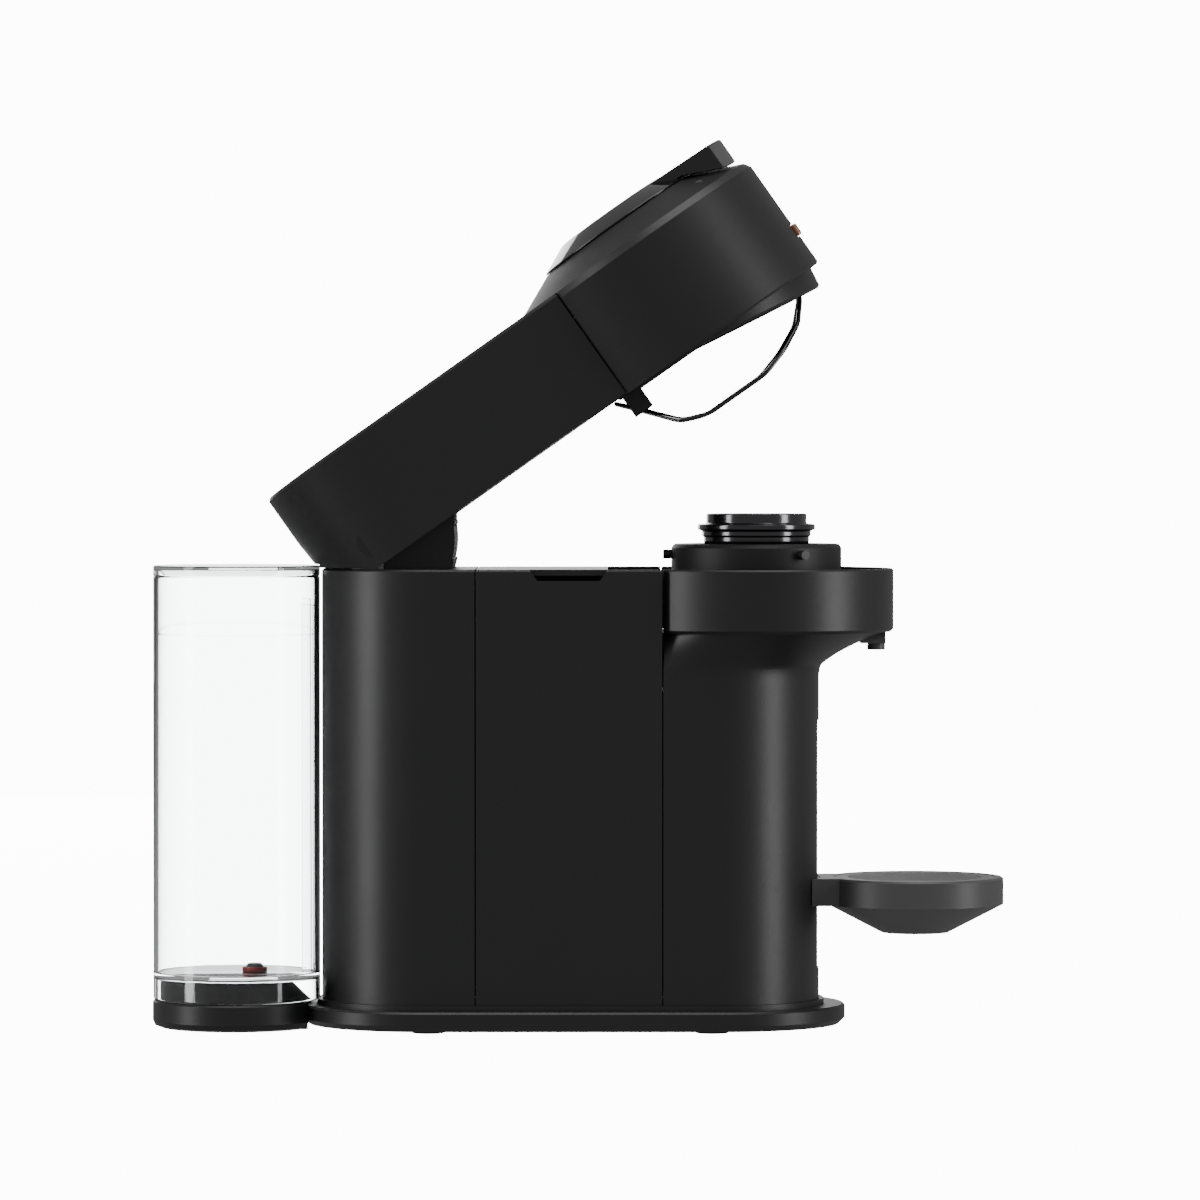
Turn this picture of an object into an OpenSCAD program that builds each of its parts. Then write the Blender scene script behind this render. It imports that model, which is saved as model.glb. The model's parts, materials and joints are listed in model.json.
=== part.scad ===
// Pod coffee machine, standing, with its brewing head swung open.
// +X is the machine's front, +Z is up, the origin is under the middle of its footprint box.

/* [Body] */
// Half width of the upright body
body_r = 54.5; // [48:0.5:66]
// Height of the body's top face
body_top = 231.4; // [205:0.1:280]
// Wall of the moulded covers
wall = 3; // [2:0.5:4]
// Centre of the body's rear round end
rear_x = -74.7; // [-90:0.1:-66]
// Centre of the body's front round end
front_x = 67.1; // [60:0.1:80]
// Seam between the rear cover and the container
seam_rear = -50.9; // [-60:0.1:-45]
// Seam between the container and the front column
seam_front = 42.3; // [36:0.1:46]

/* [Base] */
// How far the base plate stands out round the body
base_lip = 7.5; // [6:0.5:12]
// Thickness of the base plate, with its feet
base_h = 12; // [10:0.5:16]
// Height that the feet stand out under the base plate
foot_h = 2; // [1.5:0.5:3]

/* [Brewing head] */
// Distance of the brewing axis in front of the origin
brew_x = 90; // [86:0.5:96]
// Radius of the head's drum
head_r = 71; // [70.5:0.5:80]
// Height of the head and of its arm
head_h = 60.3; // [56:0.1:72]
// Radius of the ring under the head
ring_r = 69.2; // [68:0.1:76]
// Height of the ring under the head
ring_h = 31.8; // [30:0.1:36]
// Angle that the head is swung open
open_angle = 35.2; // [30:0.1:38]
// Distance of the head's hinge behind the origin
hinge_x = -100.7; // [-104:0.1:-98]
// Height of the head's hinge above the body's top
hinge_up = 14.9; // [14:0.1:18]
// Radius of the fixed drum round the head's hinge
drum_r = 39.4; // [34:0.1:41]
// Angle of the unlocked lever from its locked place
lever_turn = 38; // [30:1:40]

/* [Capsule holder] */
// Radius of the fixed collar round the capsule holder
collar_r = 42.9; // [42:0.1:44]
// Height of the fixed collar
collar_h = 12.4; // [10:0.1:14]
// Inner radius of the capsule holder's seat
seat_r = 21; // [18:0.5:22]
// Tilt of the brewing carrier while the head is open
carrier_tilt = 8.67; // [7:0.01:10]

/* [Water tank] */
// Radius of the water tank
tank_r = 42.1; // [38:0.1:43]
// Height of the tank's top above the table
tank_top = 232.9; // [200:0.1:233]
// Gap between the tank and the body
tank_gap = 1.1; // [0.8:0.1:3]

/* [Cup support] */
// Radius of the cup support
cup_r = 44.8; // [40:0.1:50]
// Height of the cup support's top
cup_top = 75.7; // [60:0.1:100]
// Distance from the column's front to the cup support's centre
cup_reach = 48.5; // [48:0.1:56]

/* [Hidden] */

$fn = 96;
gap = 0.5;         // between pieces that move past each other
seam = 0.3;        // half of a visible seam
fit = 0.05;        // radial clearance of a shaft in its bearing
eps = 0.1;         // overshoot of a cut past a face

base_r = body_r + base_lip;
foot_r = 8;
foot_y = base_r * 0.62;
plinth_h = 2.7;
plinth_inset = 5;
wall_z = base_h + plinth_h;
top_t = 3;
floor_t = 3;
inside_z = wall_z + floor_t;

hinge_z = body_top + hinge_up;
arm_r = body_r;
arm_rear_x = rear_x - 6;
// half width inside the arm, beside the hinge
arm_side = sqrt((arm_r - wall) ^ 2 - (arm_rear_x - hinge_x) ^ 2);
arm_z = body_top + 2.8;
head_z = body_top + 0.7;
head_top = arm_z + head_h;
arm_seam = 43.3;
shoulder_h = 10.8;
disc_h = 8.1;
disc_r = 45;
disc_top_r = 30;

ring_z = body_top - ring_h;
ring_wall = 3.2;
column_x = front_x + body_r;
spout_x = brew_x + 60.5;
funnel_h = 24;
bearing_r = 30;
shaft_r = 8;
spout_len = 9;
spout_drop = 9.3;
collar_wall = 9.9;
pin_r = 2.3;
pin_out = 3.7;
pin_z = body_top + collar_h - 5.3;
pin_angles = [180, -60, 60];
motor_z = 96;
motor_h = 56;
drum_half = 42;
cheek_y = 32;
hinge_pin_r = 4;
boss_t = arm_side - drum_half - gap + 0.6;
mount_h = 8;
pump_z = inside_z + mount_h;
pump_h = 46;
pump_at = [rear_x - 22, -14];
heater_z = inside_z + 42.3;
heater_h = 90;
socket_z = 40;
bin_floor_z = inside_z + 0.8;
bin_wall = 2;
bin_top = 190;
deck_end = 15;
notch = [-24, 15];
notch_h = 5.5;
holder_top = 15.2;
shaft_low = motor_z + motor_h - 19;
lock_in = 48.2;
lock_out = 51.2;
lock_reach = 44.2;
lock_plate_z = arm_z + head_h - 14.3;
plate_z = body_top + 30.6;
bush_h = lock_plate_z - plate_z - 4.2;
hose_z = lock_plate_z - 8;
hub_r = 20;
button_h = 6.4;
button_z = body_top + 17.5;
button_out = 1.9;
hoop_r = 54.5;
wire_r = 1.15;
carrier_r = 66;
carrier_in = 58;
carrier_h = 12;
carrier_x = 88;
carrier_z = body_top + 4.5;
lever_w = 26;
lever_r = 66.5;
lever_rest = -lever_turn / 2;
grille_h = 2.4;

platform_x = rear_x - body_r - tank_gap - tank_r;
platform_r = tank_r + 0.4;
platform_h = 13.8;
boss_r = tank_r - 3.6;
boss_h = 11.2;
tank_x = platform_x;
tank_floor = 25.5;
tank_wall_t = 2.2;
lid_h = 5.4;
lift = 45;

cup_x = column_x + cup_reach;
cup_band = 13.7;
cup_low_r = 16.9;
tongue_w = 20;

// Moves what was drawn closed to where it stands with the head open.
module opened() {
    translate([hinge_x, 0, hinge_z]) rotate([0, -open_angle, 0])
        translate([-hinge_x, 0, -hinge_z]) children();
}

// Sweeps a profile round two ends and along the straight between them.
module racetrack(x0, x1) {
    translate([x0, 0, 0]) rotate(90) rotate_extrude(angle = 180) children();
    translate([x1, 0, 0]) rotate(-90) rotate_extrude(angle = 180) children();
    translate([x0, 0, 0]) rotate([90, 0, 90]) linear_extrude(x1 - x0) {
        children();
        mirror([1, 0]) children();
    }
}

// A ring of given radii standing on z.
module tube(r_out, r_in, h) {
    difference() {
        cylinder(r = r_out, h = h);
        translate([0, 0, -eps]) cylinder(r = r_in, h = h + 2 * eps);
    }
}

// A wide block between two places along x.
module slab(x0, x1, z0, z1, half = 80) {
    translate([x0, -half, z0]) cube([x1 - x0, 2 * half, z1 - z0]);
}

// The profile of a flat round plate with chamfered edges.
module plate_profile(r, z0, z1, low = 1, high = 1) {
    polygon([[0, z0], [r - low, z0], [r, z0 + low], [r, z1 - high], [r - high, z1], [0, z1]]);
}

module base_plate() {
    color("#242424") difference() {
        union() {
            racetrack(rear_x - 2.3, front_x + 5.7) plate_profile(base_r, foot_h, base_h, 3, 1);
            racetrack(rear_x, front_x)
                translate([0, base_h - eps]) square([base_r - plinth_inset, plinth_h + eps]);
        }
        for (x = [rear_x, front_x], y = [-1, 1])
            translate([x, y * foot_y, foot_h - eps]) cylinder(r = foot_r + gap / 2, h = 2 + eps);
        // room for the tank's rim
        translate([tank_x, 0, platform_h - gap]) cylinder(r = tank_r + gap, h = 5);
    }
}

module rubber_feet() {
    color("#1a1a1a") for (x = [rear_x, front_x], y = [-1, 1])
        translate([x, y * foot_y, 0]) cylinder(r = foot_r, h = foot_h + 2);
}

// The upright body's outer wall, over its whole length.
module body_wall() {
    racetrack(rear_x, front_x) translate([body_r - wall, wall_z])
        polygon([[0, 0], [wall, 0], [wall, body_top - wall_z - 1], [wall - 1, body_top - wall_z],
                 [0, body_top - wall_z]]);
}

module rear_cover() {
    color("#222222") difference() {
        union() {
            intersection() {
                body_wall();
                slab(-200, seam_rear - seam, 0, body_top);
            }
            intersection() {
                racetrack(rear_x, front_x)
                    translate([0, body_top - top_t]) square([body_r - wall + eps, top_t]);
                slab(-200, seam_rear - seam, 0, body_top);
            }
            intersection() {
                racetrack(rear_x, front_x)
                    translate([0, inside_z]) square([body_r - wall + eps, body_top - inside_z - 1]);
                slab(seam_rear - seam - wall, seam_rear - seam, 0, body_top);
            }
        }
        // inlet for the mains socket, low on the side away from the cup
        translate([rear_x + 4, body_r - 20, socket_z]) rotate([-90, 0, 0]) cylinder(r = 9, h = 30);
        // water passage behind the tank's foot
        translate([rear_x - body_r - 5, 0, wall_z + 5.3]) rotate([0, 90, 0]) cylinder(r = 4, h = 12);
    }
}

// The front column stands round the brewing group's pipes and carries the ring.
module front_column() {
    color("#222222") difference() {
        union() {
            intersection() {
                body_wall();
                slab(seam_front + seam, 200, 0, ring_z - funnel_h);
            }
            intersection() {
                racetrack(rear_x, front_x)
                    translate([0, inside_z]) square([body_r - wall + eps, ring_z - 30 - inside_z]);
                slab(seam_front + seam, seam_front + seam + wall, 0, ring_z - 30);
            }
        }
        // slot in which the cup support's tongue slides up and down
        translate([column_x - 20, -tongue_w / 2 - gap, 30]) cube([40, tongue_w + 2 * gap, 125]);
    }
}

// The floor of the body joins the covers and carries the pump, the heater and the motor.
module body_floor() {
    color("#2a2a2a") racetrack(rear_x, front_x)
        translate([0, wall_z]) square([body_r - wall - gap, floor_t]);
}

// The far side of the body is fixed and ties the rear cover to the front column.
module far_side_wall() {
    color("#222222") intersection() {
        body_wall();
        translate([seam_rear + seam, 0, wall_z])
            cube([seam_front - seam_rear - 2 * seam, 80, body_top - wall_z]);
    }
}

// The ring round the used capsules' channel, open towards the container.
module brew_ring() {
    color("#202020") intersection() {
        translate([brew_x, 0, 0]) rotate_extrude() translate([ring_r - ring_wall, ring_z])
            polygon([[0, 0], [ring_wall - 1.5, 0], [ring_wall, 1.5], [ring_wall, ring_h - 0.8],
                     [ring_wall - 0.8, ring_h], [0, ring_h]]);
        slab(seam_front + seam, 300, 0, 400);
    }
}

// Slanting shoulder between the column and the ring. It holds the coffee bowl and its duct.
module funnel() {
    color("#1e1e1e") difference() {
        intersection() {
            union() {
                hull() {
                    translate([brew_x, 0, ring_z - eps])
                        cylinder(r = ring_r - ring_wall, h = eps, $fn = 64);
                    translate([front_x + 3, 0, ring_z - 14])
                        cylinder(r = body_r + 5, h = eps, $fn = 64);
                }
                hull() {
                    translate([front_x + 3, 0, ring_z - 14])
                        cylinder(r = body_r + 5, h = eps, $fn = 64);
                    translate([front_x, 0, ring_z - funnel_h])
                        cylinder(r = body_r, h = eps, $fn = 64);
                }
            }
            slab(seam_front + seam, 300, ring_z - funnel_h, ring_z);
        }
        translate([brew_x, 0, ring_z - funnel_h - 1]) cylinder(r = bearing_r, h = funnel_h + 2);
        // duct from the bowl to the spout
        translate([brew_x, 0, ring_z - 5]) rotate([0, 90, 0]) cylinder(r = 3, h = spout_x - brew_x);
        translate([spout_x - 8 - 0.2, -8, ring_z - 12]) cube([30, 16, 12 + eps]);
    }
}

module spout() {
    color("#2a2a2a") difference() {
        union() {
            intersection() {
                translate([brew_x, 0, ring_z - 5]) rotate([0, 90, 0])
                    translate([0, 0, spout_x - brew_x - 8]) cylinder(r = 7.5, h = 12.5);
                slab(spout_x - 8, spout_x + 4.5, ring_z - 6, ring_z);
            }
            translate([spout_x, 0, ring_z - spout_drop]) cylinder(r = spout_len / 2, h = spout_drop);
        }
        translate([spout_x, 0, ring_z - spout_drop - eps]) cylinder(r = 2.6, h = spout_drop - 1.5);
        translate([spout_x - 12, 0, ring_z - 5]) rotate([0, 90, 0]) cylinder(r = 2.2, h = 12);
    }
}

module bayonet_collar() {
    color("#1c1c1c") difference() {
        translate([brew_x, 0, 0]) rotate_extrude()
            polygon([[collar_r - collar_wall, ring_z], [collar_r, ring_z],
                     [collar_r, body_top + collar_h - 2], [collar_r - 1, body_top + collar_h - 0.5],
                     [collar_r - 2, body_top + collar_h], [collar_r - collar_wall, body_top + collar_h]]);
        for (a = pin_angles) translate([brew_x, 0, pin_z]) rotate([0, 90, a])
            translate([0, 0, collar_r - collar_wall - 1]) cylinder(r = pin_r, h = collar_wall + 2);
    }
}

module collar_pins() {
    color("#8a8a8a") for (a = pin_angles) translate([brew_x, 0, pin_z]) rotate([0, 90, a])
        translate([0, 0, collar_r - collar_wall + 0.5]) cylinder(r = pin_r, h = collar_wall + pin_out);
}

// Bush in the funnel that the capsule holder's shaft turns in, with the coffee bowl over it.
module seat_bearing() {
    color("#3c3c3c") translate([brew_x, 0, 0]) difference() {
        rotate_extrude() polygon([[shaft_r + fit, ring_z - funnel_h], [bearing_r, ring_z - funnel_h],
            [bearing_r, ring_z], [bearing_r - 2, ring_z], [bearing_r - 2, ring_z - 7],
            [shaft_r + 3, ring_z - 6], [shaft_r + 3, ring_z + 1], [shaft_r + fit, ring_z + 1]]);
        translate([bearing_r - 4, 0, ring_z - 5]) rotate([0, 90, 0]) cylinder(r = 3, h = 8);
    }
}

module spin_motor() {
    color("#9a9a9a") translate([brew_x, 0, motor_z]) {
        difference() {
            cylinder(r = 20, h = motor_h);
            translate([0, 0, motor_h - 20]) cylinder(r = shaft_r + fit, h = 20 + eps);
        }
        for (a = [0, 180]) rotate(a) translate([14, -6, motor_h])
            cube([8, 12, ring_z - funnel_h - motor_z - motor_h]);
    }
}

// Fixed drum round the hinge, between the arm's sides.
module hinge_drum() {
    color("#202020") translate([hinge_x, 0, hinge_z]) difference() {
        union() {
            rotate([90, 0, 0]) difference() {
                cylinder(r = drum_r, h = 2 * drum_half, center = true, $fn = 160);
                cylinder(r = drum_r - 2.5, h = 2 * drum_half - 5, center = true, $fn = 160);
            }
            // ribbed rim that closes the gap in front of the arm's floor
            for (k = [0 : 5]) rotate([0, -12 - k * 9, 0]) translate([drum_r - 1, -drum_half, -0.8])
                cube([1.8, 2 * drum_half, 1.6]);
            rotate([0, 14, 0]) translate([drum_r - 1.4, -drum_half, -6]) cube([2.4, 2 * drum_half, 6]);
        }
        translate([-100, -80, -100]) cube([100 + 4, 160, 200]);
        translate([-100, -80, -100]) cube([200, 160, 100 - hinge_up]);
        rotate([90, 0, 0]) cylinder(r = hinge_pin_r + 1, h = 200, center = true);
    }
}

module hinge_cheeks() {
    color("#6f6f6f") for (side = [-1, 1]) difference() {
        union() {
            translate([hinge_x - 12, side * cheek_y - 2, body_top]) cube([24, 4, hinge_up]);
            translate([hinge_x, side * cheek_y, hinge_z]) rotate([90, 0, 0])
                cylinder(r = 12, h = 4, center = true);
        }
        translate([hinge_x, side * cheek_y, hinge_z]) rotate([90, 0, 0])
            cylinder(r = hinge_pin_r, h = 10, center = true);
    }
}

module hinge_pin() {
    color("#b0b0b0") translate([hinge_x, 0, hinge_z]) rotate([90, 0, 0])
        cylinder(r = hinge_pin_r, h = 2 * arm_side - 1, center = true);
}

module hinge_springs() {
    color("#8c8c8c") for (side = [-1, 1]) translate([hinge_x, side * (cheek_y - 13), hinge_z])
        rotate([90, 0, 0]) difference() {
            cylinder(r = 9, h = 20, center = true);
            cylinder(r = hinge_pin_r + 1, h = 21, center = true);
        }
}

module tank_platform() {
    color("#242424") difference() {
        union() {
            translate([platform_x, 0, 0]) rotate_extrude()
                polygon([[0, 0], [platform_r - 4, 0], [platform_r - 1, 1.2], [platform_r, 3.6],
                         [platform_r, platform_h - 1], [platform_r - 1, platform_h], [0, platform_h]]);
            translate([platform_x, -20, 0]) cube([rear_x - 2.3 - platform_x, 40, base_h - 2]);
        }
        racetrack(rear_x - 2.3, front_x + 5.7) square([base_r, 60]);
    }
}

// Docking boss in the tank's skirt. Its front leans back along the tank's way out.
module tank_boss() {
    color("#1c1c1c") intersection() {
        translate([platform_x, 0, platform_h]) cylinder(r = boss_r, h = boss_h);
        hull() {
            translate([platform_x + 0.4, 0, platform_h - eps]) cylinder(r = boss_r, h = eps, $fn = 64);
            translate([platform_x + 0.4 - boss_h / tan(lift), 0, platform_h + boss_h])
                cylinder(r = boss_r, h = eps, $fn = 64);
            translate([platform_x - 30, 0, platform_h - eps]) cylinder(r = boss_r, h = eps, $fn = 64);
        }
    }
}

module mains_inlet() {
    color("#141414") translate([rear_x + 4, body_r - 12, socket_z]) rotate([-90, 0, 0]) difference() {
        cylinder(r = 8.8, h = 11);
        translate([0, 0, 3]) cylinder(r = 6.5, h = 12);
    }
}

module water_pump() {
    color("#c8c4b8") translate([each pump_at, pump_z]) {
        cylinder(r = 17, h = pump_h);
        translate([0, 0, pump_h]) cylinder(r = 9, h = 14);
        translate([0, 0, pump_h + 14]) cylinder(r = 4, h = 14);
    }
}

module pump_mounts() {
    color("#202020") for (z = [inside_z, pump_z + pump_h]) translate([each pump_at, z])
        tube(15, 10, mount_h);
}

module water_heater() {
    color("#a9a9a6") translate([rear_x - 9.3, 28, heater_z]) {
        cylinder(r = 14, h = heater_h);
        for (z = [-4, heater_h]) translate([0, 0, z]) cylinder(r = 6, h = 4);
        translate([-6, -6, inside_z - heater_z]) cube([12, 12, heater_z - inside_z - 4]);
    }
}

module flow_meter() {
    color("#d8d8d4") translate([rear_x - 33.3, 14, inside_z]) {
        cylinder(r = 12, h = 16);
        translate([0, 0, 16]) cylinder(r = 4, h = 10);
    }
}

module control_board() {
    color("#2f6b3c") {
        translate([seam_rear - seam - wall - 5, -30, 60]) cube([1.6, 60, 110]);
        for (z = [70, 105, 140], y = [-18, 10])
            translate([seam_rear - seam - wall - 13.5, y, z]) cube([8.5, 9, 12]);
        for (z = [66, 164], y = [-24, 24]) translate([seam_rear - seam - wall - 3.4, y, z])
            rotate([0, 90, 0]) cylinder(r = 2, h = 3.4);
    }
}

// Side panel of the used-capsule container, with a finger notch and the deck over the bin.
module container_panel() {
    color("#222222") difference() {
        union() {
            intersection() {
                body_wall();
                translate([seam_rear + seam, -80, wall_z])
                    cube([seam_front - seam_rear - 2 * seam, 80, body_top - wall_z]);
            }
            translate([seam_rear + seam, -body_r + wall - eps, body_top - top_t])
                cube([deck_end - seam_rear - seam, 2 * (body_r - wall) - gap, top_t]);
        }
        translate([0, -body_r + wall + 3, 0]) rotate([90, 0, 0]) linear_extrude(10)
            polygon([[notch[0], body_top + eps], [notch[0] + 4, body_top - notch_h],
                     [notch[1] - 4, body_top - notch_h], [notch[1], body_top + eps]]);
    }
}

module container_bin() {
    x0 = seam_rear + seam + 3;
    long = seam_front - seam_rear - 2 * seam - 6;
    deep = 2 * (body_r - wall) - 2 * gap;
    color("#2c2c2c") difference() {
        translate([x0, -body_r + wall, bin_floor_z])
            cube([long, deep, body_top - top_t - bin_floor_z]);
        translate([x0 + bin_wall, -body_r + wall + bin_wall, bin_floor_z + bin_wall])
            cube([long - 2 * bin_wall, deep - 2 * bin_wall, 300]);
        translate([x0 + bin_wall, -80, bin_top]) cube([long, 160, 100]);
    }
}

module tank_wall() {
    color("#dfe8ee", 0.35) translate([tank_x, 0, 0]) {
        rotate_extrude() polygon([[0, tank_floor], [tank_r - tank_wall_t, tank_floor],
            [tank_r - tank_wall_t, platform_h + 0.3], [tank_r, platform_h + 0.3],
            [tank_r, tank_top - lid_h], [tank_r - tank_wall_t, tank_top - lid_h],
            [tank_r - tank_wall_t, tank_floor + 2], [0, tank_floor + 2]]);
        // moulded line at the highest filling
        translate([0, 0, tank_top - 35]) tube(tank_r - tank_wall_t + eps, tank_r - tank_wall_t - 0.5, 0.8);
        // docking ribs inside the front
        for (y = [-12, 12]) translate([tank_r - 9, y - 1, tank_floor + 1])
            cube([6, 2, tank_top - tank_floor - 46]);
    }
}

module tank_valve() {
    color("#b3261e") translate([tank_x + 9, 0, tank_floor + 2]) tube(6.3, 4.3, 2.4);
    color("#9a9a9a") translate([tank_x + 9, 0, tank_floor + 2]) cylinder(r = 4.3, h = 4.2);
}

module tank_lid() {
    color("#e4eaee", 0.4) translate([tank_x, 0, 0]) {
        rotate_extrude() polygon([[0, tank_top - 2], [tank_r - tank_wall_t, tank_top - 2],
            [tank_r - tank_wall_t, tank_top - lid_h + 0.3], [tank_r, tank_top - lid_h + 0.3],
            [tank_r, tank_top - 0.6], [tank_r - 0.6, tank_top], [0, tank_top]]);
        translate([0, 0, tank_top - lid_h - 2]) tube(tank_r - tank_wall_t - 2.9, tank_r - 6.7, lid_h + eps);
    }
}

// The turning cup that a capsule drops into, with its shaft.
module capsule_holder() {
    top = body_top + collar_h + holder_top;
    color("#4a4a4e") translate([brew_x, 0, 0]) {
        rotate_extrude() polygon([[seat_r, top], [25.3 - 0.5, top], [25.3, top - 0.5],
            [25.3, top - 5.2], [29.6, top - 5.2], [29.6, top - 8.4], [27.4, top - 8.4],
            [27.4, top - holder_top + 0.5], [seat_r + 2.2, top - holder_top - 6],
            [seat_r + 2.2, ring_z + 6], [shaft_r, ring_z + 2], [shaft_r, shaft_low], [0, shaft_low],
            [0, ring_z + 8], [seat_r - 6, ring_z + 8], [seat_r, ring_z + 16]]);
    }
}

// The arm's hollow cover: sides, roof and front floor, with the hinge's bosses.
module arm_shell() {
    top = arm_z + head_h;
    color("#242424") difference() {
        union() {
            opened() intersection() {
                union() {
                    racetrack(arm_rear_x, brew_x) polygon([[arm_r - wall, arm_z], [arm_r, arm_z],
                        [arm_r, top - 1.5], [arm_r - 1.5, top], [0, top], [0, top - wall],
                        [arm_r - wall, top - wall]]);
                    translate([hinge_x + 42.7, -arm_r + 1, arm_z])
                        cube([78, 2 * arm_r - 2, wall]);
                }
                slab(-200, arm_seam - seam, 0, 400);
            }
            for (side = [-1, 1]) translate([hinge_x, side * (drum_half + gap + boss_t / 2), hinge_z])
                rotate([90, 0, 0]) cylinder(r = 9, h = boss_t, center = true);
        }
        translate([hinge_x, 0, hinge_z]) rotate([90, 0, 0])
            cylinder(r = hinge_pin_r + fit, h = 2 * arm_side, center = true);
        // the lowest rear corner clears the body's top and the tank's lid
        slab(-300, 300, 0, body_top + gap);
        slab(-300, tank_x + tank_r + 0.6, 0, tank_top + 0.7);
        hull() {
            translate([tank_x, 0, tank_top - 5]) cylinder(r = tank_r + 0.6, h = 5, $fn = 64);
            translate([tank_x - 40, 0, tank_top + 35]) cylinder(r = tank_r + 0.6, h = 5, $fn = 64);
        }
    }
}

module head_drum() {
    color("#262626") opened() difference() {
        intersection() {
            translate([brew_x, 0, 0]) rotate_extrude() polygon([[head_r - wall, head_z],
                [head_r - 1, head_z], [head_r, head_z + 1], [head_r, head_top - 3.5],
                [head_r - 2.3, head_top], [head_r - wall, head_top]]);
            slab(arm_seam + seam, 300, 0, 400);
        }
        translate([brew_x, 0, button_z - gap]) rotate([0, 0, -12.5])
            rotate_extrude(angle = 25) translate([head_r - 8, 0]) square([14, button_h + 2 * gap]);
    }
}

module head_shoulder() {
    z = head_top;
    color("#2b2b2b") opened() translate([brew_x, 0, 0]) rotate_extrude()
        polygon([[head_r - 2.4, z], [disc_r, z + shoulder_h], [hub_r + gap, z + shoulder_h],
                 [hub_r + gap, z + shoulder_h - 2.6], [disc_r - 1, z + shoulder_h - 2.6],
                 [head_r - 8, z]]);
}

// Plate across the head with the piercing spindle's bush and windows for the lock ring's legs.
module head_plate() {
    color("#565656") opened() difference() {
        translate([brew_x, 0, plate_z]) {
            intersection() {
                cylinder(r = head_r - wall, h = 4);
                translate([arm_seam + seam - brew_x, -80, -1]) cube([200, 160, 6]);
            }
            cylinder(r = 14, h = bush_h);
        }
        translate([brew_x, 0, plate_z - 1]) cylinder(r = 6 + fit, h = bush_h + 6);
        for (a = [46, -134]) translate([brew_x, 0, plate_z - 1]) rotate(a)
            rotate_extrude(angle = 86) translate([lock_in - 1, 0]) square([lock_out - lock_in + 2, 6]);
    }
}

// The wire's way down, under and up again, as places along x and depths under the body's top.
hoop_path = [[54.3, 2.4], [52.6, 8.6], [43.3, 18.7], [30, 25.2], [15.6, 29.6], [-18.9, 29.6],
             [-31.5, 24.6], [-45, 8.6], [-53.6, -1.2]];
hoop_sides = 10;
hoop_turns = 2 * len(hoop_path);
function hoop_place(p, side) = [brew_x + p.x, side * sqrt(max(0, hoop_r ^ 2 - p.x ^ 2)), body_top - p.y];
function hoop_point(i) = let (k = (i + hoop_turns) % hoop_turns)
    k < len(hoop_path) ? hoop_place(hoop_path[k], -1) : hoop_place(hoop_path[hoop_turns - 1 - k], 1);
function unit(v) = v / norm(v);
function hoop_ring(i) = let (
    along = unit(unit(hoop_point(i + 1) - hoop_point(i)) + unit(hoop_point(i) - hoop_point(i - 1))),
    out = unit(hoop_point(i) - [brew_x, 0, body_top + 40]),
    side = unit(cross(along, out)),
    up = cross(side, along))
    [for (k = [0 : hoop_sides - 1]) hoop_point(i)
        + wire_r * (cos(360 * k / hoop_sides) * side + sin(360 * k / hoop_sides) * up)];

module ejector_hoop() {
    n = hoop_sides;
    color("#2d2d30") opened() {
        polyhedron(
            points = [for (i = [0 : hoop_turns - 1]) each hoop_ring(i)],
            faces = [for (i = [0 : hoop_turns - 1], k = [0 : n - 1])
                let (j = (i + 1) % hoop_turns, m = (k + 1) % n)
                each [[i * n + k, i * n + m, j * n + m], [i * n + k, j * n + m, j * n + k]]]);
        translate([brew_x + hoop_path[0].x, 0, body_top - 2])
            cylinder(r = wire_r, h = plate_z - body_top + 2, $fn = 24);
    }
}

module hoop_bracket() {
    color("#1e1e1e") opened() for (side = [-1, 1]) {
        y = side * abs(hoop_point(7).y);
        translate([brew_x - 49, y - 3, body_top - 10]) cube([10, 6, 11]);
        translate([brew_x - 49, y - 3, body_top]) cube([5, 6, plate_z - body_top]);
    }
}

module water_hose() {
    color("#8f8f8f") opened() {
        translate([hinge_x + 46, 20, hose_z]) rotate([0, 90, 0]) cylinder(r = 3, h = 116);
        translate([hinge_x + 162, 20, plate_z + 4]) cylinder(r = 3, h = hose_z + 3 - plate_z - 4);
    }
}

module brew_button() {
    color("#b87358") opened() translate([brew_x, 0, button_z]) rotate([0, 0, -12])
        rotate_extrude(angle = 24) translate([head_r - 5, 0]) square([5 + button_out, button_h]);
}

module top_disc() {
    z = head_top + shoulder_h + 0.4;
    color("#101010") opened() translate([brew_x, 0, 0]) rotate_extrude()
        polygon([[0, z], [disc_r, z], [disc_r, z + 0.6], [disc_top_r, z + disc_h - 0.4], [0, z + disc_h]]);
}

// The lever's wedge, from the disc's cone to past the shoulder.
module lock_lever() {
    z = head_top + shoulder_h + 0.4;
    slope = shoulder_h / (head_r - 2.4 - disc_r);
    low = z + 1.2 - slope * (lever_r - disc_r);
    color("#121212") opened() translate([brew_x, 0, 0]) rotate(lever_rest) difference() {
        intersection() {
            rotate([90, 0, 0]) linear_extrude(lever_w, center = true)
                polygon([[disc_top_r + 1, z + disc_h - 1.2], [disc_top_r + 1, z + 1.2],
                         [disc_r, z + 1.2], [lever_r, low], [lever_r + 3, low],
                         [lever_r + 3, z + disc_h - 2.1]]);
            cylinder(r = lever_r, h = 500);
        }
        rotate_extrude() polygon([[0, z], [disc_r, z], [disc_r, z + 0.6],
                                  [disc_top_r, z + disc_h - 0.4], [0, z + disc_h]]);
    }
}

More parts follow.
